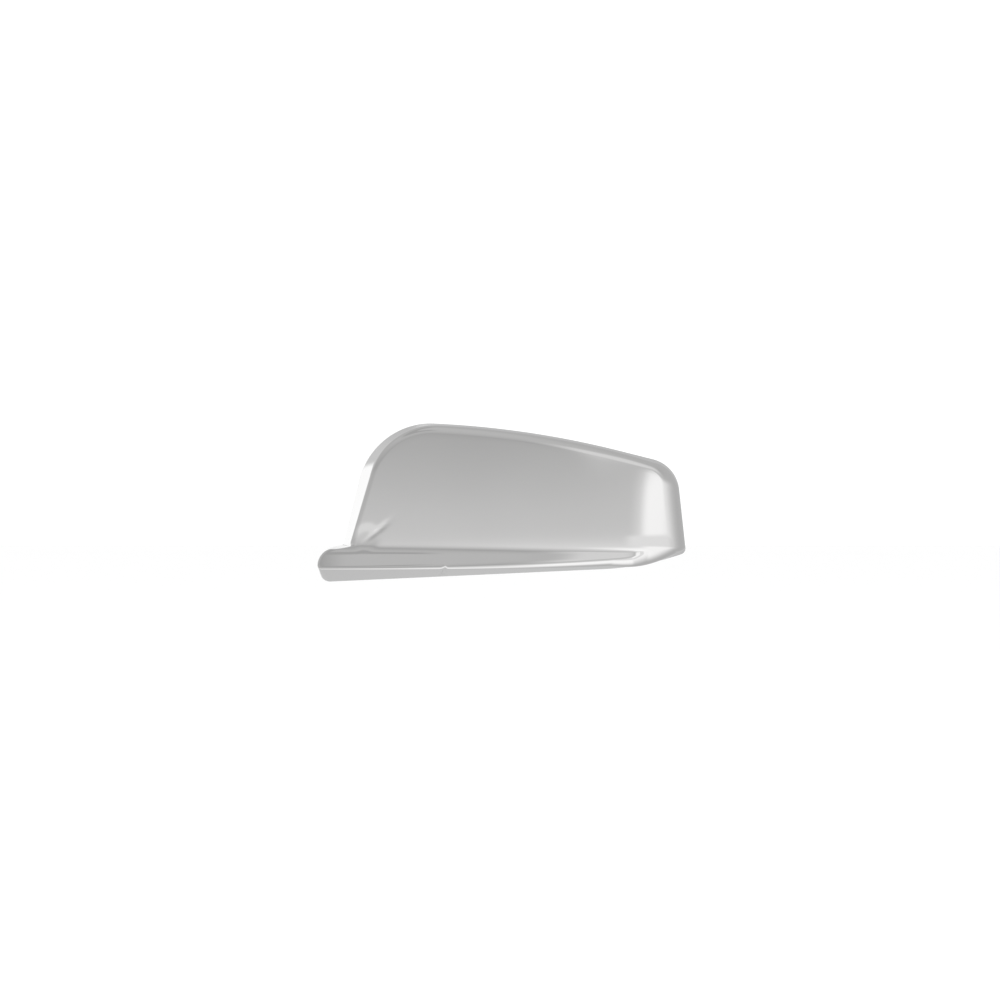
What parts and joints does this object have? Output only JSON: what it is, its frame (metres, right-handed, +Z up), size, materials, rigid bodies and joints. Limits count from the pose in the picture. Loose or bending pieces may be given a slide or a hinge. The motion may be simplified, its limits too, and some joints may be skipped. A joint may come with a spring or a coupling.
{
  "type": "wing mirror cover",
  "caption": "Chrome-plated wing mirror cover: a one-piece moulded cap with a tapering face and a lip along its foot.",
  "frame": {"origin": "middle of the open back, in the plane where the rim seats on the mirror housing", "axes": "+X outboard along the cover's length, +Y out of the open back, +Z up as fitted; the face looks towards -Y"},
  "size_m": [0.2546, 0.0747, 0.1095],
  "materials": {
    "chrome_plate": "bright plated, polished outside"
  },
  "bodies": {
    "root": {"mirror_cover": "chrome_plate"}
  },
  "joints": []
}
